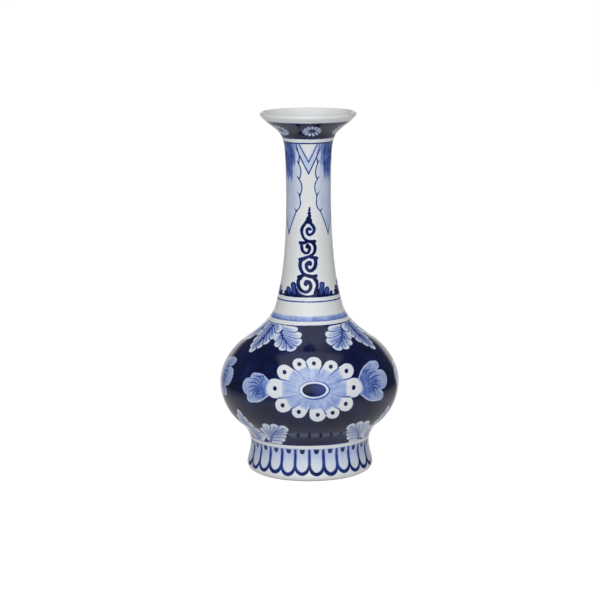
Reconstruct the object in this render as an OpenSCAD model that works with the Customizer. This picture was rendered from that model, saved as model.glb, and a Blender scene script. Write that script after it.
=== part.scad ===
// Bottle vase with a splayed foot, a round belly, a tall neck and a trumpet mouth.
// It is turned in five sections that are luted together with slip, then glazed.
// Frame: origin at the centre of the standing face, +Z up, millimetres.

/* [Size] */
// Overall height of the vase
height = 210; // [208:0.5:216]

/* [Foot] */
// Radius of the outer curve at the ground
edge_r = 34.3; // [34.1:0.1:35]
// Lean of the outer curve at the ground, in degrees from upright
edge_lean = 53; // [40:1:60]
// Radius of the bulge at the bottom of the foot
foot_r = 36.9; // [36.5:0.1:38]
// Height of the widest line of that bulge
foot_z = 3.3; // [3:0.1:4.5]
// Radius of the waist, where the foot meets the bowl
waist_r = 34.8; // [34.3:0.1:35.6]
// Height of the waist
waist_z = 16.3; // [14:0.1:18]
// Outer radius of the flat ring that the vase stands on
stand_outer_r = 33.8; // [33:0.1:34]
// Inner radius of the flat ring that the vase stands on
stand_inner_r = 31.4; // [31:0.1:32]
// Radius of the recess under the vase
recess_r = 30; // [29:0.1:30.5]

/* [Belly] */
// Radius of the flank, where the bowl opens out above the waist
flank_r = 41.3; // [40:0.1:43]
// Height of that point on the flank
flank_z = 29; // [28:0.1:31]
// Lean of the flank, outwards
flank_lean = 53; // [46:1:58]
// Largest radius of the belly
belly_r = 52.4; // [51:0.1:55]
// Height of the belly's widest line
belly_z = 52.4; // [50:0.1:55]
// Radius of the point where the shoulder turns in fastest
shoulder_r = 38.7; // [37:0.1:41]
// Height of that point on the shoulder
shoulder_z = 76.8; // [75:0.1:79]
// Lean of the shoulder, inwards
shoulder_lean = 54; // [48:1:58]

/* [Neck] */
// Radius of the collar, where the shoulder runs into the neck
collar_r = 19.6; // [18.8:0.1:20.6]
// Height of the collar
collar_z = 98; // [96:0.1:100]
// Lean of the collar, inwards
collar_lean = 15; // [10:1:20]
// Radius of the lower neck
stem_r = 14.8; // [14.2:0.1:15.6]
// Height of that point on the lower neck
stem_z = 124.4; // [120:0.1:130]
// Lean of the lower neck, inwards
stem_lean = 5.5; // [3:0.5:8]
// Smallest radius of the neck
neck_r = 13.1; // [12.6:0.1:13.8]
// Height of the neck's narrowest line
neck_z = 161; // [155:0.5:168]

/* [Mouth] */
// Radius where the trumpet mouth begins
bell_r = 13.6; // [13.2:0.1:14.2]
// Height where the trumpet mouth begins
bell_z = 185.6; // [183:0.1:188]
// Lean of the profile there, outwards
bell_lean = 3; // [1:1:6]
// Radius of the throat, where the mouth flares fastest
throat_r = 17.7; // [17:0.1:19]
// Height of the throat
throat_z = 199.1; // [198:0.1:200]
// Lean of the throat, outwards
throat_lean = 47; // [40:1:52]
// Radius of the outer curve just below the rounded lip
rim_r = 27.7; // [26.5:0.1:29]
// Lean of the outer curve just below the lip, outwards
rim_lean = 38; // [30:1:50]

/* [Wall] */
// Thickness of the glazed wall from the foot to the belly
belly_wall = 4.2; // [3.8:0.1:5]
// Thickness of the glazed wall at the lip
lip_wall = 2.6; // [2.2:0.1:3]
// Thickness of the glaze
glaze_t = 0.3; // [0.2:0.05:0.4]
// Thickness of the slip in each joint
slip_t = 0.4; // [0.3:0.05:0.6]
// Thickness of the bowl's floor at its centre, with the glaze
floor_t = 5.2; // [4.6:0.1:6]
// Height of the bare band that is wiped clean of glaze at the bottom of the foot
wiped_h = 1; // [0.6:0.1:1.4]

/* [Hidden] */

BISCUIT = "#efe8da";
SLIP = "#d9cfbd";
GLAZE = "#2b3c7c";
BASE_GLAZE = "#e6e9ee";

$fn = 128;

// Longest step along the profile, and the number of steps round the lip and along the floor
STEP = 2.2;
LIP_STEPS = 10;
FLOOR_STEPS = 16;
TINY = 0.001;

// Height of the last station, so that the top of the rounded lip is at the overall height
rim_z = height - lip_wall / 2 * (1 + sin(rim_lean));

// The glazed outer profile from the ground to the rim: height, radius and lean at each station
STATIONS = [
  [0, edge_r, edge_lean],
  [foot_z, foot_r, 0],
  [waist_z, waist_r, 0],
  [flank_z, flank_r, flank_lean],
  [belly_z, belly_r, 0],
  [shoulder_z, shoulder_r, -shoulder_lean],
  [collar_z, collar_r, -collar_lean],
  [stem_z, stem_r, -stem_lean],
  [neck_z, neck_r, 0],
  [bell_z, bell_r, bell_lean],
  [throat_z, throat_r, throat_lean],
  [rim_z, rim_r, rim_lean]
];

// Places on the profile, counted in stations
WAIST = 2;
FLANK = 3;
BELLY = 4;
COLLAR = 6;
BELL = 9;
RIM = 11;

// A radius and height pair at a station, and the direction of a lean
function spot(i) = [STATIONS[i][1], STATIONS[i][0]];
function along(lean) = [sin(lean), cos(lean)];
function outward(t) = [t[1], -t[0]];
function unit(v) = v / norm(v);
function mix(a, b, f) = a + (b - a) * f;

// Cubic Hermite curve from a to b with end tangents ta and tb, and its direction
function hermite(a, ta, b, tb, t) =
  (2 * pow(t, 3) - 3 * pow(t, 2) + 1) * a + (pow(t, 3) - 2 * pow(t, 2) + t) * ta
  + (3 * pow(t, 2) - 2 * pow(t, 3)) * b + (pow(t, 3) - pow(t, 2)) * tb;
function hermite_way(a, ta, b, tb, t) =
  unit((6 * t - 6 * pow(t, 2)) * (b - a) + (3 * pow(t, 2) - 4 * t + 1) * ta
       + (3 * pow(t, 2) - 2 * t) * tb);

// Point and direction of the outer profile at place u, where u counts stations
function chord(i) = norm(spot(i + 1) - spot(i));
function segment(u) = min(floor(u), RIM - 1);
function handle(i, at) = along(STATIONS[at][2]) * chord(i);
function outer(u) =
  let (i = segment(u))
  hermite(spot(i), handle(i, i), spot(i + 1), handle(i, i + 1), u - i);
function way(u) =
  let (i = segment(u))
  hermite_way(spot(i), handle(i, i), spot(i + 1), handle(i, i + 1), u - i);

// Wall thickness at place u, and the profile moved into the wall by a depth
function wall(u) =
  mix(belly_wall, lip_wall, max(0, outer(u)[1] - belly_z) / (rim_z - belly_z));
function inset(u, depth) = outer(u) - depth * outward(way(u));

// The slip in a joint starts at a station and runs slip_t along the profile
function after_slip(i) = i + slip_t / chord(i);

// Places from u0 to u1, evenly spread within each stretch between stations
function steps(i) = ceil(chord(i) / STEP);
GRID = [for (i = [0 : RIM - 1]) for (k = [0 : steps(i) - 1]) i + k / steps(i)];
function places(u0, u1) =
  concat([u0], [for (g = GRID) if (g > u0 + TINY && g < u1 - TINY) g], [u1]);
function backwards(list) = [for (i = [len(list) - 1 : -1 : 0]) list[i]];

// The outer and inner faces of the unglazed wall, and the inner face of its glaze
function clay_outside(us) = [for (u = us) inset(u, glaze_t)];
function clay_inside(us) = [for (u = us) inset(u, wall(u) - glaze_t)];
function glaze_inside(us) = [for (u = us) inset(u, wall(u))];

// The rounded lip, from the outside of the rim to its inside
function lip(radius) =
  let (t = way(RIM), n = outward(t), centre = inset(RIM, lip_wall / 2))
  [for (k = [0 : LIP_STEPS])
    centre + radius * (cos(180 * k / LIP_STEPS) * n + sin(180 * k / LIP_STEPS) * t)];

// The floor of the bowl, from the axis to the flank, sunk by a depth
base_z = waist_z + slip_t;
floor_z = base_z - glaze_t + floor_t;
FLOOR_REACH = 1.25;
flank_in = inset(FLANK, wall(FLANK));
floor_chord = norm(flank_in - [0, floor_z]);
floor_start = [1, 0] * floor_chord * FLOOR_REACH;
floor_end = way(FLANK) * floor_chord;
function floor_line(depth) =
  [for (k = [0 : FLOOR_STEPS])
    let (t = k / FLOOR_STEPS, a = [0, floor_z])
    hermite(a, floor_start, flank_in, floor_end, t)
    + depth * outward(hermite_way(a, floor_start, flank_in, floor_end, t))];

// Height on the outer curve where the glaze stops, as a place on the profile
function climb(u, z) = outer(u)[1] >= z ? u : climb(u + 0.01, z);
wiped_u = climb(0, wiped_h);

// Places used by each section, shared so that faces that touch have the same points
FOOT_U = concat(places(0, wiped_u), [for (u = places(wiped_u, WAIST)) if (u > wiped_u) u]);
BOWL_U = places(after_slip(WAIST), BELLY);
BOWL_IN_U = concat([FLANK], [for (u = BOWL_U) if (u > FLANK + TINY) u]);
SHOULDER_U = places(after_slip(BELLY), COLLAR);
NECK_U = places(after_slip(COLLAR), BELL);
MOUTH_U = places(after_slip(BELL), RIM);
COAT_U = concat([for (u = FOOT_U) if (u > wiped_u - TINY) u], BOWL_U, SHOULDER_U, NECK_U, MOUTH_U);
COAT_IN_U = concat(BOWL_IN_U, SHOULDER_U, NECK_U, MOUTH_U);

// A solid of revolution from an outline of radius and height pairs
module turned(outline) {
  rotate_extrude() polygon(outline);
}

// One open ring of the unglazed wall
module wall_ring(us) {
  turned(concat(clay_outside(us), backwards(clay_inside(us))));
}

// Splayed foot ring with the bare flat face that the vase stands on
module foot_ring() {
  color(BISCUIT) turned(concat(
    [[stand_outer_r, 0]],
    clay_outside(FOOT_U),
    [[recess_r, waist_z], [recess_r, wiped_h], [stand_inner_r, 0]]));
}

// Slip between the foot ring and the bowl
module foot_slip() {
  color(SLIP) turned([
    [recess_r, waist_z],
    inset(WAIST, glaze_t),
    [inset(after_slip(WAIST), glaze_t)[0], base_z],
    [recess_r, base_z]]);
}

// Lower half of the body, with the floor
module bowl() {
  color(BISCUIT) turned(concat(
    [[0, base_z], [inset(after_slip(WAIST), glaze_t)[0], base_z]],
    [for (p = clay_outside(BOWL_U)) if (p[1] > base_z + TINY) p],
    backwards(clay_inside(BOWL_IN_U)),
    backwards([for (k = [0 : FLOOR_STEPS - 1]) floor_line(glaze_t)[k]])));
}

// Slip at the belly's widest line
module belly_slip() {
  color(SLIP) wall_ring([BELLY, after_slip(BELLY)]);
}

// Upper half of the body
module shoulder() {
  color(BISCUIT) wall_ring(SHOULDER_U);
}

// Slip between the shoulder and the neck
module neck_slip() {
  color(SLIP) wall_ring([COLLAR, after_slip(COLLAR)]);
}

// Tall neck
module neck() {
  color(BISCUIT) wall_ring(NECK_U);
}

// Slip between the neck and the mouth
module mouth_slip() {
  color(SLIP) wall_ring([BELL, after_slip(BELL)]);
}

// Trumpet mouth with its rounded lip
module mouth() {
  color(BISCUIT) turned(concat(
    clay_outside(MOUTH_U),
    lip(lip_wall / 2 - glaze_t),
    backwards(clay_inside(MOUTH_U))));
}

// Glaze over the outside, the lip and the whole inside, in one unbroken coat
module glaze_coat() {
  color(GLAZE) turned(concat(
    [for (u = COAT_U) outer(u)],
    lip(lip_wall / 2),
    backwards(glaze_inside(COAT_IN_U)),
    backwards(floor_line(0)),
    floor_line(glaze_t),
    clay_inside(COAT_IN_U),
    backwards(lip(lip_wall / 2 - glaze_t)),
    backwards(clay_outside(COAT_U))));
}

// Glaze inside the recess under the vase
module base_glaze() {
  color(BASE_GLAZE) turned([
    [0, base_z],
    [0, base_z - glaze_t],
    [recess_r - glaze_t, base_z - glaze_t],
    [recess_r - glaze_t, wiped_h],
    [recess_r, wiped_h],
    [recess_r, base_z]]);
}

foot_ring();
foot_slip();
bowl();
belly_slip();
shoulder();
neck_slip();
neck();
mouth_slip();
mouth();
glaze_coat();
base_glaze();
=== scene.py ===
"""A blue-and-white porcelain bottle vase: the painted glaze, the studio and the camera.

The clay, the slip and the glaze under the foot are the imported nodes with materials. The coat of
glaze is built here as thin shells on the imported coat's own outline, fine enough to be painted.
"""

import math

import bpy
import numpy as np
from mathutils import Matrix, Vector


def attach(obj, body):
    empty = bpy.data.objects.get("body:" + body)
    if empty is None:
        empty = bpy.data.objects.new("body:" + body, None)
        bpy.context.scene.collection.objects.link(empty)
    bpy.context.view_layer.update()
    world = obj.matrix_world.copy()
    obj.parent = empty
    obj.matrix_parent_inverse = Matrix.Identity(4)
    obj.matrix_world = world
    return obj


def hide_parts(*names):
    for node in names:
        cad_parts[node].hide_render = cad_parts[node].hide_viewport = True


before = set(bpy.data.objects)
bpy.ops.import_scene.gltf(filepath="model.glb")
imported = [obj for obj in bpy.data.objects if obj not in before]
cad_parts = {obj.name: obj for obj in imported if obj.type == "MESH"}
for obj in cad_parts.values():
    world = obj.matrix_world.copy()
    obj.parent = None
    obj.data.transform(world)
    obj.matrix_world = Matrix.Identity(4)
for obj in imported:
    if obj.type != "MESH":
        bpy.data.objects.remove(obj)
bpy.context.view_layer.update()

# ---------------------------------------------------------------- the painter's tools
# Paint is laid on the unrolled surface. turn is the angle round the vase in degrees, 0 at the
# front and rising to the right; run is the length up the outer surface from the ground, and
# every length here is in millimetres. Each field is a distance to the edge of some paint,
# below 0 inside it, or a strength from 0 to 1, and the materials turn fields into cobalt.
FAR = 9.0  # a distance that no paint reaches


def between_points(a, b, c, d, count):
    """Places on the smooth curve through four points, from b up to but not at c."""
    t = np.linspace(0, 1, count, endpoint=False)[:, None]
    return b + t / 2 * (c - a + t * (2 * a - 5 * b + 4 * c - d + t * (3 * (b - c) + d - a)))


def with_ends(points):
    """The points with one more before the first and one after the last, straight on."""
    p = np.array(points, float)
    return np.vstack([2 * p[0] - p[1], p, 2 * p[-1] - p[-2]])


def spline(points, steps=6):
    """A smooth line through given points. Each point is (x, y, half width)."""
    p = with_ends(points)
    pieces = [between_points(*four, steps) for four in zip(p, p[1:], p[2:], p[3:])]
    return np.vstack(pieces + [p[-2][None]])


def stroke_distance(x, y, line):
    """Distance to a brush stroke along a line of (x, y, half width)."""
    best = np.full(x.shape, 99.0)
    for a, b in zip(line, line[1:]):
        way = b[:2] - a[:2]
        t = np.clip(((x - a[0]) * way[0] + (y - a[1]) * way[1]) / (way @ way + 1e-9), 0, 1)
        gap = np.hypot(x - a[0] - t * way[0], y - a[1] - t * way[1])
        best = np.minimum(best, gap - a[2] - t * (b[2] - a[2]))
    return best


def oval_distance(x, y, half_x, half_y):
    """Distance to the edge of an upright oval round the origin."""
    f = np.hypot(x / half_x, y / half_y)
    return f * (f - 1) / np.maximum(np.hypot(x / half_x**2, y / half_y**2), 1e-4)


def outline_distance(x, y, line):
    """Distance to a closed outline, below 0 inside it."""
    inside = np.zeros(x.shape, bool)
    for a, b in zip(line, np.roll(line, -1, axis=0)):
        crosses = (a[1] > y) != (b[1] > y)
        at = a[0] + (y - a[1]) * (b[0] - a[0]) / (b[1] - a[1] + 1e-12)
        inside ^= crosses & (x < at)
    closed = np.column_stack([np.vstack([line, line[:1]])[:, :2], np.zeros(len(line) + 1)])
    gap = stroke_distance(x, y, closed)
    return np.where(inside, -gap, gap)


def ease(value, start, end):
    """0 at start, 1 at end, smooth between them."""
    t = np.clip((value - start) / (end - start), 0, 1)
    return t * t * (3 - 2 * t)


def waver(turn, size, phase):
    """The unsteady height of a line drawn round the vase while it turns on the wheel."""
    a = np.radians(turn)
    return size * (0.6 * np.sin(a + phase) + 0.3 * np.sin(3 * a + 2.1 * phase)
                   + 0.2 * np.sin(8 * a + 3.7 * phase))


class Canvas:
    """The fields of the paint at a set of points on the surface."""

    def __init__(self, turn, run, radius):
        self.turn, self.run, self.radius = turn, run, radius
        self.reserve = np.full(turn.shape, FAR)  # distance to the shapes left out of the ground
        self.ground = np.full(turn.shape, FAR)  # distance to the dark ground
        self.line = np.full(turn.shape, FAR)  # distance to the nearest dark paint
        self.tone = np.full(turn.shape, 0.8)  # how dark that paint is
        self.wash = np.zeros(turn.shape)  # how strong the thin paint is

    def spot(self, azimuth, run, reach, flip=False, between=(0.0, 999.0)):
        """The points near a place, and where they are from it: x to the right, y up."""
        away = (self.turn - azimuth + 180) % 360 - 180
        x = np.radians(away) * self.radius
        y = self.run - run
        near = (np.abs(x) < reach) & (np.abs(y) < reach)
        near = np.nonzero(near & (self.run > between[0]) & (self.run < between[1]))[0]
        return near, (-x[near] if flip else x[near]), y[near]

    def ink(self, near, distance, tone):
        """Adds dark paint of a tone where the distance is below 0."""
        closer = distance < self.line[near]
        self.line[near] = np.where(closer, distance, self.line[near])
        self.tone[near] = np.where(closer, tone, self.tone[near])

    def keep_white(self, near, distance, fresh=False):
        """Leaves a shape out of the ground; a fresh shape covers what was painted there."""
        self.reserve[near] = np.minimum(self.reserve[near], distance)
        if fresh:
            covered = near[distance < 0.1]
            self.line[covered] = FAR
            self.wash[covered] = 0.0

    def tint(self, near, strength):
        """Lays a wash; the stronger of two washes shows."""
        self.wash[near] = np.maximum(self.wash[near], strength)

    def ring_line(self, run, half, tone, phase, size):
        """A line drawn round the vase."""
        distance = np.abs(self.run - run - waver(self.turn, size, phase)) - half
        self.ink(slice(None), distance, tone)

    def lay_ground(self, low, high, phase, size):
        """Fills a band with the dark ground, round the shapes left white."""
        w = waver(self.turn, size, phase)
        band = np.maximum(low + w - self.run, self.run - high - w)
        self.ground = np.minimum(self.ground, np.maximum(band, -self.reserve))


# ---------------------------------------------------------------- the motifs
# Each motif is drawn about its own place: x to the right and y up, in millimetres. Tones and
# washes run from 0, bare porcelain, to 1, the deepest cobalt. Turns are in degrees.
FRONT = 3.0  # the front flower stands a little to the right of the middle
THIRD = 120.0  # the flowers and the groups of leaves come three times round the belly
LEAF_SHIFT = 2.0  # the leaf groups stand further to the right than the flower
FLOWER_RUN = 64.4
GROUND_BOTTOM, GROUND_TOP = 22.7, 107.4  # the dark ground of the belly
SCALLOPS = 27
NECK_TOP = 212.8  # the line that the chevrons and lappets hang from
SCROLLS = (0.0, 111.0, -112.0)
LAPPETS = ((-57.0, 1.0), (55.0, 0.97), (179.5, 1.12))  # the turn of each, and how wide it is
DAISIES, FIRST_DAISY, DAISY_RAYS = 6, 6.3, 13
# The lines round the vase: run, half width, tone, and the phase and size of its waver
RING_LINES = [
    (20.35, 0.16, 0.45, 0.4, 0.2),
    (110.1, 0.25, 0.66, 2.0, 0.15),
    (121.4, 0.36, 0.70, 1.1, 0.15),
    (124.5, 0.50, 0.84, 2.6, 0.12),
    (NECK_TOP, 0.40, 0.80, 0.9, 0.1),
]


def leaf(canvas, near, x, y, rib, lobes, tone, deep):
    """A leaf of rounded lobes (x, y, x, y, half width): blue by its midrib, white at its edge."""
    parts = []
    veins = np.full(x.shape, FAR)
    for ax, ay, bx, by, half in lobes:
        parts.append(stroke_distance(x, y, np.array([[ax, ay, 0.9 * half], [bx, by, half]])))
        way = np.array([bx - ax, by - ay])
        root = [ax, ay] + 0.2 * way
        end = [ax, ay] + 0.85 * way
        veins = np.minimum(veins, stroke_distance(x, y, np.array([[*root, 0.2], [*end, 0.12]])))
    first, second = np.sort(np.array(parts), axis=0)[:2]
    middle = spline([(px, py, 0) for px, py in rib])
    off = stroke_distance(x, y, middle)
    shape = np.minimum(first, off - 1.6)
    canvas.keep_white(near, shape, True)
    # A dark line parts two lobes wherever they are equally near
    split = (second - first) * 0.5 - 0.36 + 0.10 * ease(-shape, 0.5, 2.5)
    canvas.ink(near, np.where(second < 0.5, np.maximum(split, shape), FAR), tone)
    canvas.ink(near, veins, tone - 0.1)
    midrib = middle + [0, 0, 1] * np.linspace(0.85, 0.25, len(middle))[:, None]
    canvas.ink(near, stroke_distance(x, y, midrib), tone)
    # The wash is deepest by the midrib and stops short of the white edge
    body = deep * (1 - 0.6 * ease(off, 1.0, 8.0)) * ease(-shape, 0.8, 2.5)
    canvas.tint(near, np.where(shape < 0.5, np.maximum(body, 0.03), 0))
    canvas.ink(near, np.abs(shape + 0.02) - 0.12, 0.45)


# The ends of the flower's petals: x, y and half width
PETALS = [(0.2, 15.9, 4.3), (9.8, 13.4, 4.0), (19.2, 10.0, 4.6), (23.4, 0.0, 5.5),
          (18.3, -8.9, 4.5), (10.5, -13.8, 3.9), (1.9, -14.7, 4.6), (-8.8, -12.8, 4.0),
          (-18.2, -9.1, 4.4), (-22.8, 0.3, 5.5), (-16.8, 10.1, 4.5), (-8.1, 15.4, 3.8)]


def flower(canvas, azimuth):
    """The round flower of twelve dotted petals about an oval eye."""
    near, x, y = canvas.spot(azimuth, FLOWER_RUN, 34)
    shape = oval_distance(x, y, 15.0, 10.5)
    petals = np.array(PETALS)
    closest = np.full(x.shape, FAR)
    back = np.full(x.shape, FAR)
    for px, py, half in petals:
        petal = np.array([[0.42 * px, 0.42 * py, 0.7 * half], [0.8 * px, 0.8 * py, 0.93 * half],
                          [px, py, half]])
        gap = stroke_distance(x, y, petal)
        shape = np.minimum(shape, gap)
        # Each petal is white outside a straight line across it, and washed blue behind that
        length = math.hypot(px, py)
        behind = length - (x * px + y * py) / length - 0.80 * half
        back = np.where(gap < closest, behind, back)
        closest = np.minimum(closest, gap)
        canvas.ink(near, oval_distance(x - px, y - py, 1.2, 1.35), 0.93)
    canvas.keep_white(near, shape)
    # The lines that part the petals, each a little bent
    for (ax, ay, ah), (bx, by, bh) in zip(petals, np.roll(petals, -1, axis=0)):
        share = bh / (ah + bh)
        gap = share * np.array([ax, ay]) + (1 - share) * np.array([bx, by])
        root, bend, end = 0.46 * gap, 0.74 * gap, 1.02 * gap
        bend = bend + 0.03 * np.array([-gap[1], gap[0]]) * (1 if gap[0] * gap[1] > 0 else -1)
        line = spline([(*root, 0.10), (*bend, 0.30), (*end, 0.46)])
        canvas.ink(near, stroke_distance(x, y, line), 0.62)
    # The wash, streaked from the eye outwards, and the eye with its ring
    spokes = 0.5 + 0.5 * np.sin(18 * np.arctan2(y * 1.35, x) + 0.8 * np.sin(0.7 * x))
    wash = 0.225 + 0.04 * ease(-y, -6, 10) + 0.07 * spokes
    wash = wash * ease(back, -0.8, 1.1) * ease(-shape, 0.0, 0.8)
    wash = np.where(oval_distance(x, y, 8.3, 4.8) < 0, 0.03, wash)
    canvas.tint(near, np.maximum(wash, np.where(shape < 0, 0.02, 0)))
    canvas.ink(near, oval_distance(x, y, 6.8, 3.75), 0.97 - 0.26 * ease(x + 0.5 * y, -6.0, 5.0))
    rim = np.abs(oval_distance(x, y, 8.6, 5.1)) - 0.26 - 0.22 * ease(x - y, -4, 8)
    canvas.ink(near, rim, 0.6)


# The strokes of each fan's three lobes: x, y and half width along each
PALMETTES = {
    "small": [[(0.6, 2.2, 2.6), (5.4, 4.8, 3.1), (9.8, 5.4, 2.7)],
              [(0.0, 0.0, 3.8), (7.0, 0.2, 4.8), (13.0, -0.3, 4.9)],
              [(0.6, -2.2, 2.6), (6.0, -5.2, 3.1), (11.3, -6.6, 2.7)]],
    "large": [[(0.8, 2.8, 2.9), (6.2, 7.2, 4.0), (11.6, 10.2, 3.4), (15.6, 10.9, 2.4)],
              [(0.0, 0.2, 4.0), (9.0, 1.6, 6.0), (17.2, 2.0, 5.5)],
              [(0.8, -2.2, 2.8), (7.4, -5.6, 3.6), (14.9, -7.2, 2.8)]],
}


# The veins of a fan: the angle in degrees, and where each starts and ends
PALMETTE_VEINS = [(46, 5.4, 9.8), (33, 4.6, 12.4), (21, 4.0, 13.6), (9, 4.0, 14.2),
                  (-3, 4.0, 13.8), (-15, 4.2, 13.0), (-28, 4.6, 12.2), (-40, 5.4, 10.4)]


def palmette(canvas, azimuth, flip, kind):
    """A three-lobed fan beside the flower."""
    near, x, y = canvas.spot(azimuth, FLOWER_RUN - 0.2, 30, flip)
    parts = [stroke_distance(x, y, spline(lobe)) for lobe in PALMETTES[kind]]
    shape = np.minimum(np.minimum(parts[0], parts[1]), parts[2])
    shape = np.maximum(shape, 6.0 - np.hypot(x + 5.6, y))
    canvas.keep_white(near, shape)
    # The wash is deepest at the root, with streaks that fan out
    size = 1.25 if kind == "large" else 1.0
    from_root = np.hypot(x + 1.5, y) / size
    fan = 0.5 + 0.5 * np.sin(30 * np.arctan2(y, x + 4.5) + 0.8 * np.sin(0.8 * x))
    body = 0.50 - 0.24 * ease(from_root, 5, 18) + 0.07 * (fan - 0.5) * (1 - ease(x, 10, 16))
    edge = ease(-shape, 0.1, 1.3)
    canvas.tint(near, np.where(shape < 0.4, 0.15 + (body - 0.15) * edge, 0))
    rise = 7.0 if kind == "large" else 0.0
    for angle, start, end in PALMETTE_VEINS:
        a = np.radians(angle + rise)
        bend = np.radians(5 + 0.22 * abs(angle))
        mid = (start + end) / 2
        vein = spline([(start * np.cos(a), start * np.sin(a), 0.2),
                       (mid * np.cos(a + bend), mid * np.sin(a + bend), 0.4),
                       (end * np.cos(a - 0.3 * bend), end * np.sin(a - 0.3 * bend), 0.12)], 5)
        vein[:, :2] *= size
        canvas.ink(near, stroke_distance(x, y, vein) - 0.06, 0.68)
    # The lines that part the three lobes at their ends
    for first, second in ((0, 1), (1, 2)):
        seam = np.maximum(np.abs(parts[first] - parts[second]) * 0.6 - 0.16, 10.0 - from_root)
        canvas.ink(near, np.maximum(seam, shape), 0.52)


# The lobes of each leaf: x and y at the root, x and y at the tip, and the half width. The long
# leaf is even, so it has only the tips on one side, and both_sides finds the rest.
ROUND_LEAF = [(-4.6, 7.0, 3.2, 6.0, 2.5), (-3.6, 4.0, 6.4, 2.2, 2.8), (-1.4, 0.6, 8.0, -2.6, 3.1),
              (2.0, -2.4, 6.8, -6.8, 2.9), (0.0, -0.8, 1.8, -6.6, 2.8), (-2.6, 1.4, -2.4, -4.4, 2.6),
              (-4.0, 4.2, -4.6, -0.6, 2.4)]
LONG_LEAF = [(5.7, -3.6, 3.0), (5.6, -8.6, 2.9), (4.6, -13.2, 2.7), (2.8, -17.2, 2.4)]
CURLED_LEAF = [(-6.6, -7.0, -7.2, 1.6, 2.6), (-4.8, -4.2, -3.6, 5.6, 2.9), (-2.4, -1.8, 2.0, 6.2, 2.9),
               (0.0, 0.4, 7.2, 5.6, 2.8), (-2.2, -2.2, 5.6, 1.4, 2.3), (-3.8, -4.4, 3.6, -2.4, 2.3),
               (-5.2, -6.6, 1.8, -5.8, 2.2), (-6.4, -8.8, -0.6, -8.8, 1.9)]


def both_sides(lobes, rise, start):
    """All lobes of an even leaf from its root at start: rise is 1 if it stands, -1 if it hangs."""
    whole = [(0.0, start + 5.0 * rise, 0.2, rise * 20.6 + start, 2.4)]
    for end_x, end_y, half in lobes:
        root = start + rise * max(-end_y - 5.6, -1.5)
        for side in (-1, 1):
            whole.append((0.4 * side, root, side * end_x, start - rise * end_y, half))
    return whole


def shoulder_leaves(canvas, azimuth):
    """One hanging leaf and a rounder leaf on each side of it, from the line round the shoulder."""
    band = (0, GROUND_TOP - 0.5)
    near, x, y = canvas.spot(azimuth + 28.0, 98.0, 24, False, between=band)
    leaf(canvas, near, x, y, [(-5.4, 8.4), (-3.8, 3.6), (0.4, -1.4), (7.0, -6.6)], ROUND_LEAF,
         0.72, 0.46)
    near, x, y = canvas.spot(azimuth - 28.0, 98.0, 24, True, between=band)
    leaf(canvas, near, x, y, [(-5.0, 8.4), (-2.6, 4.0), (0.6, -1.0), (6.8, -7.4)], ROUND_LEAF,
         0.72, 0.46)
    near, x, y = canvas.spot(azimuth, GROUND_TOP - 0.4, 30, between=band)
    leaf(canvas, near, x, y, [(0, 1.0), (0.2, -8.0), (0.0, -14.0), (0, -20.4)],
         both_sides(LONG_LEAF, -1.0, 0.0), 0.74, 0.50)


def foot_leaves(canvas, azimuth):
    """One standing leaf and a lobed leaf on each side of it, from the line above the foot."""
    band = (GROUND_BOTTOM + 0.5, 999)
    near, x, y = canvas.spot(azimuth + 27.0, 33.0, 26, False, between=band)
    leaf(canvas, near, x, y, [(-6.8, -9.6), (-4.0, -4.0), (0.6, 1.2), (7.0, 5.6)], CURLED_LEAF,
         0.56, 0.36)
    near, x, y = canvas.spot(azimuth - 27.0, 33.0, 26, True, between=band)
    leaf(canvas, near, x + 1.6, y, [(-6.8, -9.6), (-4.0, -4.0), (0.6, 1.2), (7.0, 5.6)],
         CURLED_LEAF, 0.54, 0.34)
    near, x, y = canvas.spot(azimuth, GROUND_BOTTOM + 0.8, 32, between=band)
    leaf(canvas, near, x, y, [(0, -1.0), (0, 8.0), (0.3, 16.0), (0, 23.0)],
         both_sides(LONG_LEAF, 1.0, 1.0), 0.56, 0.36)


def scallops(canvas):
    """Long U-shaped petals round the foot, each with a dark bud at its top."""
    bottom, bend, top = 5.9, 12.0, 20.3  # the runs of the petals' tips, their bends and their tops
    pitch = 360 / SCALLOPS
    turn = canvas.turn + 0.5
    nth = np.floor(turn / pitch)
    x = np.radians(turn - (nth + 0.5) * pitch) * canvas.radius
    half = np.radians(pitch / 2) * canvas.radius - 0.05
    y = canvas.run - bend + 0.35 * np.sin(nth * 2.4)
    drop = bend - bottom
    # Straight sides above the bend, half an oval below it, drawn with a brush of uneven width
    side = np.where(y > 0, np.abs(x) - half, oval_distance(x, y, half, drop))
    width = 0.90 - 0.10 * ease(-y, -3.0, 1.0) + 0.30 * ease(-y, 2.4, drop)
    width = width + 0.07 * np.sin(nth * 1.7) - 0.14 * ease(canvas.run, 14.0, 20.0)
    line = np.maximum(np.abs(side) - width, canvas.run - top)
    everywhere = slice(None)
    canvas.ink(everywhere, line, 0.80 - 0.13 * ease(np.abs(side), 0.0, 0.6) * ease(y, -2, 1))
    # The bud, a little off the middle of its petal
    lean = 0.2 * np.sin(nth * 3.1)
    bud = np.hypot((x - lean) * 0.92, np.clip(19.5 - canvas.run, 0, None) * 0.66) - 1.38
    bud = np.maximum(bud, canvas.run - top)
    canvas.ink(everywhere, bud, 0.84)
    # The wash inside, deeper towards the top and the sides
    inside = (side < 0) & (canvas.run < top + 0.3)
    fade = 0.06 + 0.11 * ease(canvas.run, 9.5, 18.5) + 0.10 * ease(side, -1.6, -0.6)
    canvas.wash = np.where(inside, np.maximum(canvas.wash, fade), canvas.wash)


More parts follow.
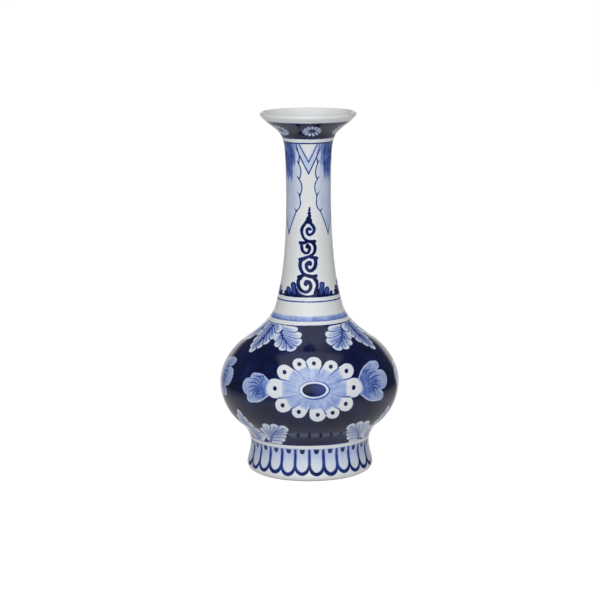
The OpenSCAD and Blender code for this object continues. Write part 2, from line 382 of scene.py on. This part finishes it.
# The lines of the chain of scrolls, from the top one down, as x and run
SCROLL_STROKES = [
    [(-2.1, 166.6), (-3.7, 164.2), (-4.1, 161.8), (-3.4, 159.4), (-2.2, 157.6), (-0.5, 156.6),
     (1.2, 156.2), (3.3, 156.3)],
    [(1.1, 166.8), (2.3, 165.4), (3.2, 163.6), (2.8, 161.7), (1.5, 160.5), (0.0, 160.2),
     (-1.0, 161.5), (-0.9, 163.0), (0.1, 163.7), (0.9, 163.3)],
    [(-4.9, 155.5), (-2.7, 155.4), (-0.8, 156.4)],
    [(-3.1, 155.6), (-4.2, 154.6), (-4.1, 152.8), (-3.7, 151.0), (-2.2, 149.7), (-0.6, 149.8),
     (0.2, 151.0), (0.4, 152.6), (-0.6, 154.0), (-1.1, 153.2)],
    [(2.1, 155.6), (3.4, 153.8), (3.6, 151.7), (2.7, 149.3), (0.4, 147.9), (-1.1, 147.2),
     (-3.0, 146.4), (-5.2, 145.8)],
    [(0.5, 147.6), (2.7, 147.0), (4.4, 146.5)],
    [(4.0, 145.9), (4.0, 143.8), (3.5, 141.6), (2.2, 140.0), (0.6, 139.4), (-0.6, 140.0),
     (-1.4, 141.4), (-1.4, 142.8), (-0.5, 144.0), (0.6, 144.1), (0.8, 143.3)],
    [(-4.7, 145.4), (-5.2, 143.2), (-5.0, 140.9), (-4.0, 138.8), (-2.5, 137.3), (-0.3, 136.5),
     (2.0, 136.0), (3.9, 136.3)],
    [(-6.0, 135.7), (-4.4, 136.2), (-2.8, 137.2)],
    [(-5.6, 135.2), (-6.3, 133.4), (-6.3, 131.4), (-5.5, 129.2), (-3.8, 127.7), (-1.6, 127.2),
     (0.3, 128.4), (1.0, 130.6), (0.3, 132.5), (-1.3, 133.2), (-2.1, 131.9)],
    [(2.6, 135.6), (4.4, 133.3), (4.8, 131.0), (4.4, 128.7), (3.5, 126.2)],
]
# The round ends, joints and spire of the chain: x, run and half width
SCROLL_KNOBS = [(0.8, 163.4, 0.6), (-1.0, 153.1, 0.95), (0.6, 143.3, 1.0), (-1.8, 131.7, 1.15),
                (-5.1, 155.5, 1.0), (3.4, 156.3, 0.98), (-5.3, 145.9, 1.0), (4.6, 146.5, 0.98),
                (-6.2, 135.7, 1.0), (4.1, 136.3, 1.0), (0.55, 175.6, 0.6), (0.45, 174.3, 0.8),
                (0.3, 172.6, 1.0), (0.5, 171.0, 1.05), (0.0, 169.4, 1.5), (0.5, 168.2, 1.55),
                (-0.4, 168.0, 1.55), (-1.6, 167.2, 0.95), (1.0, 167.3, 1.05),
                (-5.1, 135.1, 1.15), (3.4, 135.5, 1.0), (-4.2, 145.3, 0.95), (3.5, 145.8, 0.9),
                (2.6, 155.4, 0.8), (-3.4, 155.2, 0.8)]


def scroll(canvas, azimuth):
    """The chain of four scrolls that climbs the neck to a spire, and the feathers at its foot."""
    near, x, y = canvas.spot(azimuth, 150, 30)
    y = y + 150
    for points in SCROLL_STROKES:
        line = spline([(px, py, 0.88 if py > 147 else 1.02) for px, py in points])
        line[:, 2] *= 1 + 0.1 * np.sin(np.linspace(0, 9, len(line)))  # the brush's uneven width
        canvas.ink(near, stroke_distance(x, y, line), 0.88)
    for px, py, half in SCROLL_KNOBS:
        canvas.ink(near, np.hypot(x - px, y - py) - half, 0.9)
    feathers(canvas, near, x, y)


# The feathers: x at the base, x at the tip, the run of the tip and the half width
FEATHERS = [(-8.2, -9.5, 132.7, 1.9), (-11.4, -13.1, 129.8, 1.8), (-14.2, -15.4, 127.4, 1.4),
            (6.6, 7.7, 132.8, 1.9), (9.8, 11.2, 129.8, 1.8), (12.9, 14.2, 127.2, 1.4)]


def feathers(canvas, near, x, y):
    """The fans of feathers on both sides of the lowest scroll, and the white left round it."""
    halo = oval_distance(x + 0.7, y - 131.2, 6.9, 5.9)
    whole = np.abs(x + 0.4) - 14.6 + 1.6 * (y - 124.5)
    edge = np.full(x.shape, FAR)
    for base_x, tip_x, top, half in FEATHERS:
        way = np.array([[base_x, 122.0, 0.8 * half], [tip_x, top - half, half]])
        feather = stroke_distance(x, y, way)
        whole = np.minimum(whole, feather)
        edge = np.minimum(edge, np.abs(feather))
    whole = np.maximum(whole, np.maximum(124.0 - y, -halo))
    canvas.ink(near, whole, 0.92 - 0.24 * ease(edge, 0.25, 1.0) * ease(y, 124.8, 126.4))
    line = np.abs(halo - 0.1) - 0.1
    canvas.ink(near, np.where(y < 130, line, FAR), 0.5)


def chevron(canvas, azimuth):
    """Two nested points that hang from the line under the mouth."""
    near, x, y = canvas.spot(azimuth, 204, 14)
    for half_top, tip, half in ((8.6, -8.7, 0.34), (5.6, -2.0, 0.32)):
        for side in (-1, 1):
            line = np.array([[side * half_top, 8.7, half], [0.1, tip, half * 1.2]])
            canvas.ink(near, stroke_distance(x, y, line), 0.68)
    # Inside the outer point, and inside the inner one
    outer = np.abs(x) - (y + 8.7) * 0.494
    inner = np.abs(x) - (y + 2.0) * 0.523
    between = (outer < 0) & (inner > 0) & (y < 8.8)
    canvas.tint(near, np.where(between, 0.13, 0.0))
    rim = (inner < 0) & (inner > -1.3) & (y < 8.8)
    canvas.tint(near, np.where(rim, 0.09, 0.0))


# The right-hand outline of a lappet from its top to its tip, as x and run, and the ends of the
# small barbs on it
LAPPET_EDGE = [(7.0, 213.5), (7.5, 209.0), (8.3, 205.0), (7.9, 202.4), (7.4, 201.4),
               (8.5, 199.0), (8.9, 196.0), (8.4, 193.4), (7.5, 192.2),
               (8.7, 190.4), (9.3, 187.8), (8.9, 185.0), (7.8, 182.6),
               (8.1, 180.4), (8.3, 178.0), (7.6, 175.6), (5.6, 173.4),
               (4.6, 171.2), (2.2, 165.6), (0.0, 160.4)]
LAPPET_HOOKS = [((7.7, 192.4), (6.0, 193.9)), ((8.0, 182.8), (6.3, 184.9)),
                ((5.8, 173.5), (4.3, 175.3)), ((7.6, 201.6), (6.4, 203.0))]


def lappet(canvas, azimuth, widen):
    """A long scalloped tongue of pale wash, streaked with strong blue at its top."""
    near, x, y = canvas.spot(azimuth, 187, 30)
    x, y = x / widen, y + 187
    left = [(-px, py) for px, py in reversed(LAPPET_EDGE[:-1])]
    shape = outline_distance(x, y, np.array(LAPPET_EDGE + left))
    line = np.array([(px, py, 0.36) for px, py in LAPPET_EDGE])
    for side in (-1, 1):
        edge = line * [side, 1, 1]
        canvas.ink(near, np.maximum(stroke_distance(x, y, edge), y - NECK_TOP), 0.74)
        for hook, barb in LAPPET_HOOKS:
            mark = np.array([[side * hook[0], hook[1], 0.5], [side * barb[0], barb[1], 0.14]])
            canvas.ink(near, stroke_distance(x, y, mark), 0.74)
    tip = np.array([[0, 160.2, 0.62], [0, 162.0, 0.3]])
    canvas.ink(near, stroke_distance(x, y, tip), 0.72)
    inside = shape < 0.1
    pale = 0.06 + 0.06 * ease(-shape, 0.6, 3.5) + 0.08 * ease(-y, -176, -166)
    # The strong streaks end at uneven heights, lowest in the middle, and fade to the sides
    ends = 191.5 + 8.5 * ease(np.abs(x), 2.9, 3.9) + 1.2 * np.sin(x * 2.3)
    ends = ends + 1.0 * np.sin(x * 5.1 + 1)
    lanes = 0.54 + 0.05 * np.sin(x * 1.9 + 1) + 0.06 * np.sin(x * 4.4) + 0.03 * np.sin(x * 9.7)
    lanes = lanes + 0.10 * ease(y, 190, 206) - 0.14 * ease(np.abs(x), 2.9, 3.7)
    lanes = lanes * (1 - 0.8 * ease(np.abs(x), 5.0, 6.4))
    streaks = lanes * ease(y, ends - 1.5, ends + 2.5)
    side_mark = np.abs(np.abs(x) - 5.6 - 0.16 * (y - 205)) - 0.12
    canvas.ink(near, np.where((y > 196) & inside, side_mark, FAR), 0.45)
    canvas.tint(near, np.where(inside, np.maximum(pale, streaks), 0))


def daisy(canvas, azimuth):
    """A small daisy of white strokes under the lip."""
    near, x, y = canvas.spot(azimuth, 222.1, 8)
    x, y = x / 1.06, y / 0.88
    shape = np.full(x.shape, FAR)
    for k in range(DAISY_RAYS):
        a = 2 * np.pi * (k + 0.25) / DAISY_RAYS
        way = np.array([np.cos(a), np.sin(a)])
        ray = np.array([[*(2.1 * way), 0.22], [*(4.5 * way), 0.72]])
        shape = np.minimum(shape, stroke_distance(x, y, ray))
    canvas.keep_white(near, shape)
    canvas.tint(near, np.where(shape < 0.4, 0.1, 0))


def shoulder_band(canvas):
    """The band of wash over the shoulder's line, which fades upwards."""
    band = (canvas.run > 109.9) & (canvas.run < 113.8)
    shade = 0.42 - 0.16 * ease(canvas.run, 110.5, 113.2)
    shade = shade * (1 - ease(canvas.run, 112.6, 113.6))
    canvas.wash = np.where(band, np.maximum(canvas.wash, shade), canvas.wash)


def paint(turn, run, radius):
    """The whole decoration at a set of points. Returns the fields by name."""
    canvas = Canvas(turn, run, radius)
    for k in range(3):
        azimuth = FRONT + THIRD * k
        palmette(canvas, azimuth - 30.6, True, "small")
        palmette(canvas, azimuth + 31.5, False, "large")
        flower(canvas, azimuth)
        shoulder_leaves(canvas, azimuth + LEAF_SHIFT + THIRD / 2)
        foot_leaves(canvas, azimuth + LEAF_SHIFT + THIRD / 2)
    for k in range(DAISIES):
        daisy(canvas, FIRST_DAISY + 360.0 / DAISIES * k)
    canvas.lay_ground(GROUND_BOTTOM, GROUND_TOP, 0.4, 0.25)
    canvas.lay_ground(215.3, 229.9, 1.3, 0.12)
    scallops(canvas)
    for line in RING_LINES:
        canvas.ring_line(*line)
    for azimuth in SCROLLS:
        scroll(canvas, azimuth)
        chevron(canvas, azimuth)
    for azimuth, widen in LAPPETS:
        lappet(canvas, azimuth, widen)
    shoulder_band(canvas)
    return {"ground": canvas.ground, "line": canvas.line, "tone": canvas.tone,
            "wash": canvas.wash}


# ---------------------------------------------------------------- the surface
MM = 0.001
SKIN = 0.0002  # the modelled thickness of the coat of glaze
SECTION_STEP = 0.0002  # the spacing of the places along the coat's smoothed outline
TOUCHING = 1e-5  # closer than this to the axis or the ground counts as on it
AXIS_GAP = 0.00002  # the rings of the coat stay this far off the axis
BACK_SHARE = 8  # the skin behind needs one row for so many of the painted skin


def mesh_points(mesh):
    """The mesh's corners as rows of (x, y, z), and its edges as pairs of their numbers."""
    corners = np.zeros(len(mesh.vertices) * 3)
    mesh.vertices.foreach_get("co", corners)
    ends = np.zeros(len(mesh.edges) * 2, int)
    mesh.edges.foreach_get("vertices", ends)
    return corners.reshape(-1, 3), ends.reshape(-1, 2)


def turned_outline(corners, ends):
    """The places (radius, height) of a turned mesh, and which are joined by an upright edge."""
    angle = np.arctan2(corners[:, 1], corners[:, 0])
    radius = np.hypot(corners[:, 0], corners[:, 1])
    place = np.round(np.column_stack([radius, corners[:, 2]]), 6)
    places, which = np.unique(place, axis=0, return_inverse=True)
    apart = np.hypot(*(places[:, None] - places[None]).transpose(2, 0, 1))
    same = (apart < 3 * TOUCHING).argmax(axis=1)
    a, b = same[which.ravel()[ends]].T
    upright = np.abs(angle[ends[:, 0]] - angle[ends[:, 1]]) < 1e-4
    upright |= np.minimum(places[a, 0], places[b, 0]) < TOUCHING
    upright &= a != b
    joined = {}
    for p, q in set(zip(a[upright].tolist(), b[upright].tolist())):
        joined.setdefault(p, set()).add(q)
        joined.setdefault(q, set()).add(p)
    low = places[:, 1] < places[:, 1].min() + TOUCHING
    start = int(same[np.argmax(np.where(low, places[:, 0], -1))])
    return places, joined, start


def glaze_section():
    """The coat's outline as rows of (radius, height), up the outside and down the inside."""
    places, joined, here = turned_outline(*mesh_points(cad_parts["glaze_coat"].data))
    walk = [here]
    while places[here, 0] > 10 * TOUCHING:
        onward = [p for p in joined[here] if p not in walk]
        if not onward:
            break
        if len(walk) == 1:
            here = max(onward, key=lambda p: places[p, 1])
        else:
            here = min(onward, key=lambda p: np.hypot(*(places[p] - places[here])))
        walk.append(here)
    return places[walk]


def smooth_section(section, step):
    """The outline on a smooth curve: (run, radius, height, normal out, normal up) rows."""
    p = with_ends(section)
    rows = []
    for four in zip(p, p[1:], p[2:], p[3:]):
        count = max(int(np.hypot(*(four[2] - four[1])) / step), 1)
        rows.append(between_points(*four, count))
    rows = np.vstack(rows + [p[-2][None]])
    way = np.gradient(rows, axis=0)
    way /= np.maximum(np.hypot(way[:, 0], way[:, 1]), 1e-12)[:, None]
    run = np.concatenate([[0], np.cumsum(np.hypot(*np.diff(rows, axis=0).T))])
    return np.column_stack([run, rows, way[:, 1], -way[:, 0]])


def rows_between(section, start, end, step):
    """Evenly spaced rows of the section, in metres, from one run to another in millimetres."""
    count = max(int(math.ceil((end - start) / step)), 2)
    run = np.linspace(start, end, count + 1) * MM
    return np.column_stack([run] + [np.interp(run, section[:, 0], section[:, k])
                                    for k in range(1, 5)])


def ring_points(rows, columns, inset):
    """Points of rings round the axis, set back from the rows by an inset."""
    turn = np.linspace(-180, 180, columns, endpoint=False)
    a = np.radians(turn)
    r = np.maximum(rows[:, 1] - inset * rows[:, 3], AXIS_GAP)[:, None]
    z = (rows[:, 2] - inset * rows[:, 4])[:, None]
    x, y = r * np.sin(a), -r * np.cos(a)
    return np.stack([x, y, z + 0 * x], axis=-1).reshape(-1, 3), turn


def quads(lower, upper):
    """Quads between two rings of vertex numbers."""
    return np.stack([lower, np.roll(lower, -1), np.roll(upper, -1), upper], axis=-1)


def shell(name, section, start, end, step, columns, painted=True):
    """One stretch of the glaze: the outer skin, the skin behind it and the two end walls."""
    rows = rows_between(section, start, end, step)
    back_count = max(len(rows) // BACK_SHARE, 3)
    back_rows = rows[np.linspace(0, len(rows) - 1, back_count).astype(int)]
    front, turn = ring_points(rows, columns, 0.0)
    back, _ = ring_points(back_rows, columns, SKIN)
    grid = np.arange(len(front)).reshape(len(rows), columns)
    rear = len(front) + np.arange(len(back)).reshape(len(back_rows), columns)
    faces = [quads(a, b) for a, b in zip(grid, grid[1:])]
    front_faces = sum(len(f) for f in faces)
    faces += [quads(b, a) for a, b in zip(rear, rear[1:])]
    faces += [quads(rear[0], grid[0]), quads(grid[-1], rear[-1])]
    piece = mesh_object(name, np.vstack([front, back]), np.vstack(faces))
    normals = shell_normals(piece.data, rows, turn, front_faces)
    piece.data.normals_split_custom_set(normals)
    if painted:
        run = np.repeat(rows[:, 0] / MM, columns)
        fields = paint(np.tile(turn, len(rows)), run, np.repeat(rows[:, 1] / MM, columns))
        for field, values in fields.items():
            layer = piece.data.attributes.new(field, "FLOAT", "POINT")
            layer.data.foreach_set("value", np.concatenate([values, np.full(len(back), FAR)]))
    return piece


def mesh_object(name, points, faces):
    """A mesh of quads as an object in the scene, shaded smooth."""
    mesh = bpy.data.meshes.new(name)
    mesh.vertices.add(len(points))
    mesh.vertices.foreach_set("co", points.ravel())
    mesh.loops.add(faces.size)
    mesh.loops.foreach_set("vertex_index", faces.ravel().astype(np.int32))
    mesh.polygons.add(len(faces))
    mesh.polygons.foreach_set("loop_start", np.arange(0, faces.size, 4, dtype=np.int32))
    mesh.polygons.foreach_set("use_smooth", np.ones(len(faces), bool))
    mesh.update(calc_edges=True)
    piece = bpy.data.objects.new(name, mesh)
    bpy.context.scene.collection.objects.link(piece)
    return piece


def shell_normals(mesh, rows, turn, smooth_faces):
    """Normals of the true curve for the front faces, and each face's own for the rest."""
    normals = np.zeros((len(mesh.polygons), 4, 3))
    flat = np.zeros(len(mesh.polygons) * 3)
    mesh.polygons.foreach_get("normal", flat)
    normals[:] = flat.reshape(-1, 1, 3)
    a = np.radians(turn)
    out, up = rows[:, 3:4], rows[:, 4:5]
    true = np.stack([out * np.sin(a), -out * np.cos(a), up + 0 * out * a], axis=-1)
    index = np.zeros(len(mesh.loops), np.int32)
    mesh.loops.foreach_get("vertex_index", index)
    normals[:smooth_faces] = true.reshape(-1, 3)[index[:smooth_faces * 4]].reshape(-1, 4, 3)
    return normals.reshape(-1, 3)


# ---------------------------------------------------------------- the materials
class Nodes:
    """A short way to write the nodes of a material or a world, which start empty."""

    def __init__(self, owner):
        owner.use_nodes = True
        self.owner = owner
        self.tree = owner.node_tree
        self.tree.nodes.clear()

    def add(self, kind, settings=None, **inputs):
        """A node of a kind; an input's name is written with _ for each space."""
        node = self.tree.nodes.new("ShaderNode" + kind)
        for key, value in (settings or {}).items():
            setattr(node, key, value)
        for key, value in inputs.items():
            self.put(node.inputs[key.replace("_", " ")], value)
        return node

    def put(self, socket, value):
        """Links a socket to another node's output, or sets it to a number or colour."""
        if isinstance(value, bpy.types.NodeSocket):
            self.tree.links.new(value, socket)
        else:
            socket.default_value = value

    def math(self, operation, *values, clamp=False):
        """One sum on one, two or three values."""
        node = self.add("Math", {"operation": operation, "use_clamp": clamp})
        for socket, value in zip(node.inputs, values):
            self.put(socket, value)
        return node.outputs[0]

    def map(self, value, low, high, to_low=0.0, to_high=1.0, kind="SMOOTHSTEP"):
        """The value as it goes from low to high, turned into to_low to to_high."""
        node = self.add("MapRange", {"interpolation_type": kind})
        for socket, v in zip(node.inputs, (value, low, high, to_low, to_high)):
            self.put(socket, v)
        return node.outputs[0]

    def noise(self, scale, detail=2.0, roughness=0.5, stretch=None):
        """Cloudy noise fixed to the object, with scale clouds to a metre."""
        place = self.add("TexCoord").outputs["Object"]
        if stretch:
            place = self.add("Mapping", Vector=place, Scale=stretch).outputs[0]
        node = self.add("TexNoise", Vector=place, Scale=scale, Detail=detail,
                        Roughness=roughness)
        return node.outputs["Fac"]

    def field(self, name):
        """One of the painter's fields."""
        return self.add("Attribute", {"attribute_name": name}).outputs["Fac"]

    def ramp(self, value, stops):
        """The colour for a value, from stops of (place, colour)."""
        node = self.add("ValToRGB", Fac=value)
        stops_list = node.color_ramp.elements
        while len(stops_list) < len(stops):
            stops_list.new(0.5)
        for stop, (place, colour) in zip(stops_list, stops):
            stop.position = place
            stop.color = (*colour, 1)
        return node.outputs["Color"]

    def mix(self, factor, a, b, blend="MIX"):
        """Colour a turned into colour b by a factor."""
        node = self.add("Mix", {"data_type": "RGBA", "blend_type": blend})
        for key, value in ((0, factor), (6, a), (7, b)):
            self.put(node.inputs[key], (*value, 1) if isinstance(value, tuple) else value)
        return node.outputs[2]

    def bump(self, height, strength, distance, under=None):
        """The normal of a relief, laid over the one under it."""
        node = self.add("Bump", Height=height, Strength=strength, Distance=distance)
        if under is not None:
            self.put(node.inputs["Normal"], under)
        return node.outputs[0]

    def surface(self, colour, roughness, normal, **more):
        """Ends the material in one shader, and returns the material."""
        shader = self.add("BsdfPrincipled")
        self.put(shader.inputs["Base Color"], colour)
        self.put(shader.inputs["Roughness"], roughness)
        self.put(shader.inputs["Normal"], normal)
        for key, value in more.items():
            shader.inputs[key.replace("_", " ")].default_value = value
        out = self.add("OutputMaterial")
        self.tree.links.new(shader.outputs[0], out.inputs["Surface"])
        return self.owner


GROUND_STRENGTH = 0.94
# The colour of the glaze over each strength of cobalt, from bare porcelain to the deepest blue
COBALT = [
    (0.00, (0.745, 0.755, 0.760)),
    (0.12, (0.530, 0.600, 0.770)),
    (0.30, (0.290, 0.380, 0.660)),
    (0.50, (0.085, 0.150, 0.440)),
    (0.70, (0.022, 0.042, 0.210)),
    (0.85, (0.004, 0.010, 0.060)),
    (1.00, (0.001, 0.003, 0.020)),
]


def cobalt_strength(n):
    """How much cobalt lies at each point, from 0 for bare porcelain to 1 for the deepest."""
    wander = n.math("MULTIPLY", n.math("SUBTRACT", n.noise(420, 3.0), 0.5), 0.34)
    grain = n.math("MULTIPLY", n.math("SUBTRACT", n.noise(1500, 2.0), 0.5), 0.16)
    edge = n.math("ADD", wander, grain)
    line = n.map(n.math("ADD", n.field("line"), edge), 0.20, -0.20)
    line = n.math("MULTIPLY", line, n.field("tone"))
    ground = n.map(n.math("ADD", n.field("ground"), edge), 0.20, -0.34)
    ground = n.math("MULTIPLY", ground, GROUND_STRENGTH)
    cloud = n.map(n.noise(150, 4.0, 0.6), 0.3, 0.7, 0.72, 1.22, "LINEAR")
    streak = n.map(n.noise(600, 3.0, 0.6, (1.0, 1.0, 0.22)), 0.32, 0.68, 0.86, 1.12, "LINEAR")
    wash = n.math("MULTIPLY", n.math("MULTIPLY", n.field("wash"), cloud), streak)
    patch = n.map(n.noise(95, 5.0, 0.62), 0.35, 0.68, 0.88, 1.05, "LINEAR")
    dark = n.math("MULTIPLY", n.math("MAXIMUM", line, ground), patch)
    return n.math("MAXIMUM", dark, wash, clamp=True)


def painted_glaze():
    """Cobalt under a clear glaze on white porcelain."""
    n = Nodes(bpy.data.materials.new("painted_glaze"))
    strength = cobalt_strength(n)
    colour = n.ramp(strength, COBALT)
    cool = n.map(n.noise(38, 3.0, 0.55), 0.35, 0.65, 0.0, 0.55, "LINEAR")
    colour = n.mix(cool, colour, (0.95, 0.985, 1.0), "MULTIPLY")
    gloss = n.map(n.noise(210, 3.0), 0.3, 0.7, 0.055, 0.085, "LINEAR")
    peel = n.bump(n.noise(230, 2.0), 0.10, 0.0002)
    body = n.bump(n.noise(42, 2.0), 0.16, 0.0008, peel)
    normal = n.bump(strength, 0.05, 0.0001, body)
    return n.surface(colour, gloss, normal, IOR=1.5, Coat_Weight=0.35, Coat_Roughness=0.03)


def plain_glaze():
    """Clear glaze on white porcelain, lighter and a little warmer than the same white under the
    painting: painted light for the inside of the vase.
    """
    n = Nodes(bpy.data.materials.new("plain_glaze"))
    tone = n.map(n.noise(45, 4.0, 0.6), 0.3, 0.7, 0.0, 1.0, "LINEAR")
    # Painted light: these whites are brighter than the bare white in COBALT, standing in for light
    # inside the mouth and neck
    colour = n.mix(tone, (0.885, 0.850, 0.820), (0.860, 0.830, 0.805))
    specks = n.map(n.noise(900, 2.0), 0.72, 0.78, 0.0, 0.25)
    colour = n.mix(specks, colour, (0.55, 0.50, 0.44))
    gloss = n.map(n.noise(210, 3.0), 0.3, 0.7, 0.07, 0.12, "LINEAR")
    normal = n.bump(n.noise(60, 2.0), 0.15, 0.0006, n.bump(n.noise(230, 2.0), 0.1, 0.0002))
    return n.surface(colour, gloss, normal, IOR=1.5, Coat_Weight=0.3, Coat_Roughness=0.04)


def bare_clay(name, light, dark):
    """Fired porcelain with no glaze: dry, fine grained and faintly warm."""
    n = Nodes(bpy.data.materials.new(name))
    cloud = n.map(n.noise(70, 5.0, 0.65), 0.3, 0.7, 0.0, 1.0, "LINEAR")
    colour = n.mix(cloud, light, dark)
    grit = n.noise(2400, 3.0, 0.7)
    colour = n.mix(n.map(grit, 0.62, 0.72, 0.0, 0.4), colour, (0.42, 0.36, 0.29))
    rough = n.map(grit, 0.3, 0.7, 0.62, 0.86, "LINEAR")
    turned = n.noise(900, 2.0, 0.5, (0.05, 0.05, 1.0))
    normal = n.bump(turned, 0.18, 0.0002, n.bump(grit, 0.35, 0.0001))
    return n.surface(colour, rough, normal, IOR=1.45)


# ---------------------------------------------------------------- the pieces
GLAZE_START = 1.7  # the run, in millimetres, at which the glaze begins above the standing ring
LIP_END, INNER_NECK_END = 250.0, 360.0  # runs on the inside of the vase
# The painted stretches: name, first and last run, the step between rows, and the columns
PAINTED = [
    ("glaze_foot", GLAZE_START, 21.6, 0.34, 640),
    ("glaze_bowl", 21.6, 43.5, 0.45, 680),
    ("glaze_belly", 43.5, 108.8, 0.47, 680),
    ("glaze_collar", 108.8, 158.0, 0.30, 420),
    ("glaze_neck", 158.0, 213.9, 0.30, 360),
    ("glaze_mouth", 213.9, LIP_END, 0.33, 500),
]
PLAIN_STEP, PLAIN_COLUMNS = 2.0, 96


def glaze_pieces():
    """The coat of glaze in stretches, each joined to the next at a plain part of the surface."""
    section = smooth_section(glaze_section(), SECTION_STEP)
    section[:, 0] += GLAZE_START * MM
    inner_end = section[-1, 0] / MM
    painted = painted_glaze()
    plain = plain_glaze()
    for name, start, stop, step, columns in PAINTED:
        add_to_frame(shell(name, section, start, stop, step, columns), painted)
    inner = (("glaze_inner_neck", LIP_END, INNER_NECK_END),
             ("glaze_inner_body", INNER_NECK_END, inner_end))
    for name, start, stop in inner:
        piece = shell(name, section, start, stop, PLAIN_STEP, PLAIN_COLUMNS, False)
        add_to_frame(piece, plain)


def add_to_frame(piece, material):
    """Gives a glaze piece its material and sets it in the frame."""
    piece.data.materials.append(material)
    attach(piece, "root")
    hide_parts("glaze_coat")


def clay_pieces():
    """The packed clay sections, the slip between them and the glaze under the foot."""
    biscuit = bare_clay("biscuit", (0.70, 0.665, 0.605), (0.62, 0.580, 0.515))
    slip = bare_clay("slip", (0.66, 0.630, 0.580), (0.58, 0.545, 0.490))
    plain = plain_glaze()
    for name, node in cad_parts.items():
        if name == "glaze_coat":
            continue
        material = slip if name.endswith("_slip") else biscuit
        if name == "base_glaze":
            material = plain
        node.data.materials.clear()
        node.data.materials.append(material)
        for polygon in node.data.polygons:
            polygon.material_index = 0


# ---------------------------------------------------------------- the studio
# The floor's profile as radius and height, in metres
SWEEP = [(0.6, 0.0), (9.0, 0.0), (10.6, 0.4), (11.6, 1.4), (12.0, 3.0), (12.0, 5.0)]
SWEEP_COLUMNS = 64


def studio_floor():
    """A plain white sweep: the floor under the vase, which rises far away into a low wall.

    It is white to the camera only. The world's lower half and the table_glow light stand for
    what it would send back to the vase.
    """
    turns = [2 * math.pi * k / SWEEP_COLUMNS for k in range(SWEEP_COLUMNS)]
    points = [(r * math.cos(a), r * math.sin(a), z) for r, z in SWEEP for a in turns]
    faces = [tuple(range(SWEEP_COLUMNS))]
    for low in range(0, (len(SWEEP) - 1) * SWEEP_COLUMNS, SWEEP_COLUMNS):
        high = low + SWEEP_COLUMNS
        for k in range(SWEEP_COLUMNS):
            j = (k + 1) % SWEEP_COLUMNS
            faces.append((low + k, high + k, high + j, low + j))
    mesh = bpy.data.meshes.new("floor")
    mesh.from_pydata(points, [], faces)
    floor = bpy.data.objects.new("floor", mesh)
    bpy.context.scene.collection.objects.link(floor)
    floor.visible_diffuse = False
    floor.visible_glossy = False
    n = Nodes(bpy.data.materials.new("floor"))
    shade = n.map(n.noise(0.6, 2.0), 0.3, 0.7, 0.0, 1.0, "LINEAR")
    colour = n.mix(shade, (0.20, 0.20, 0.20), (0.21, 0.21, 0.21))
    normal = n.bump(n.noise(40, 2.0), 0.02, 0.0005)
    mesh.materials.append(n.surface(colour, 0.8, normal, IOR=1.1, Emission_Strength=0.95,
                                    Emission_Color=(1.0, 1.0, 1.0, 1.0)))


def soft_light(name, place, aim, width, height, power, mirrored=True):
    """A soft box that points at a place; glazes show it only if it is mirrored."""
    data = bpy.data.lights.new(name, "AREA")
    data.shape = "RECTANGLE"
    data.size, data.size_y = width, height
    data.energy = power
    light = bpy.data.objects.new(name, data)
    light.location = place
    light.rotation_mode = "QUATERNION"
    way = Vector(aim) - Vector(place)
    light.rotation_quaternion = way.to_track_quat("-Z", "Y")
    light.visible_camera = False
    light.visible_glossy = mirrored
    bpy.context.scene.collection.objects.link(light)


def studio_room():
    """What the glaze mirrors: a grey floor, a pale sweep behind, a window above, a dim room."""
    world = bpy.data.worlds.new("studio")
    bpy.context.scene.world = world
    n = Nodes(world)
    # The direction looked in: X to the right, Y away from the front of the vase, Z up
    way = n.add("TexCoord").outputs["Generated"]
    axes = n.add("SeparateXYZ", Vector=way).outputs
    below = n.map(axes["Z"], -0.42, -0.12, 0.46, 0.04)
    behind = n.math("MULTIPLY", n.map(axes["Y"], 0.78, 0.92, 0.0, 0.75),
                    n.map(axes["Z"], 0.10, 0.30, 1.0, 0.0))
    sweep = n.math("MAXIMUM", below, behind)
    ahead = n.math("MULTIPLY_ADD", axes["Y"], -0.6, n.math("MULTIPLY", axes["Z"], 0.8))
    window = n.map(ahead, 0.55, 0.80, 0.0, 0.66)
    aside = n.math("ABSOLUTE", axes["X"])
    window = n.math("MULTIPLY", window, n.map(aside, 0.42, 0.56, 1.0, 0.0))
    glow = n.math("ADD", n.math("MAXIMUM", sweep, window), 0.02)
    back = n.add("Background", Strength=glow)
    out = n.add("OutputWorld")
    n.tree.links.new(back.outputs[0], out.inputs[0])
    back.inputs["Color"].default_value = (1.0, 1.0, 1.0, 1.0)


def studio_light():
    """Soft boxes at both sides of the camera, over it and behind the vase, and a low wide one."""
    studio_room()
    soft_light("left_box", (-1.85, -1.95, 0.95), (0, 0, 0.1), 1.5, 1.5, 34, False)
    soft_light("right_box", (1.8, -2.0, 0.95), (0, 0, 0.1), 1.5, 1.5, 31, False)
    soft_light("front_box", (0, -1.5, 1.75), (0, 0, 0.1), 0.55, 0.55, 2.0)
    soft_light("table_glow", (0, -0.9, 0.05), (0, 0, 0.02), 1.4, 0.08, 1.0, False)
    soft_light("back_box", (0, 1.3, 2.3), (0, 0, 0.15), 2.4, 1.0, 20, False)


CAMERA_PLACE = (0.0, -1.26, 0.325)
CAMERA_DOWN, CAMERA_LEFT, CAMERA_LEAN = 10.12, 0.18, 0.34  # degrees


def studio_camera():
    """A long lens in front of the vase, a little above its mouth."""
    data = bpy.data.cameras.new("camera")
    data.sensor_width = 36.0
    data.lens = 131.7
    data.clip_start = 0.05
    data.clip_end = 60.0
    camera = bpy.data.objects.new("camera", data)
    camera.location = CAMERA_PLACE
    tilt = (90 - CAMERA_DOWN, CAMERA_LEAN, CAMERA_LEFT)
    camera.rotation_euler = [math.radians(angle) for angle in tilt]
    bpy.context.scene.collection.objects.link(camera)
    bpy.context.scene.camera = camera


def main():
    """Builds the scene."""
    glaze_pieces()
    clay_pieces()
    studio_floor()
    studio_light()
    studio_camera()
    bpy.context.scene.view_settings.view_transform = "Standard"
    bpy.context.view_layer.update()


main()
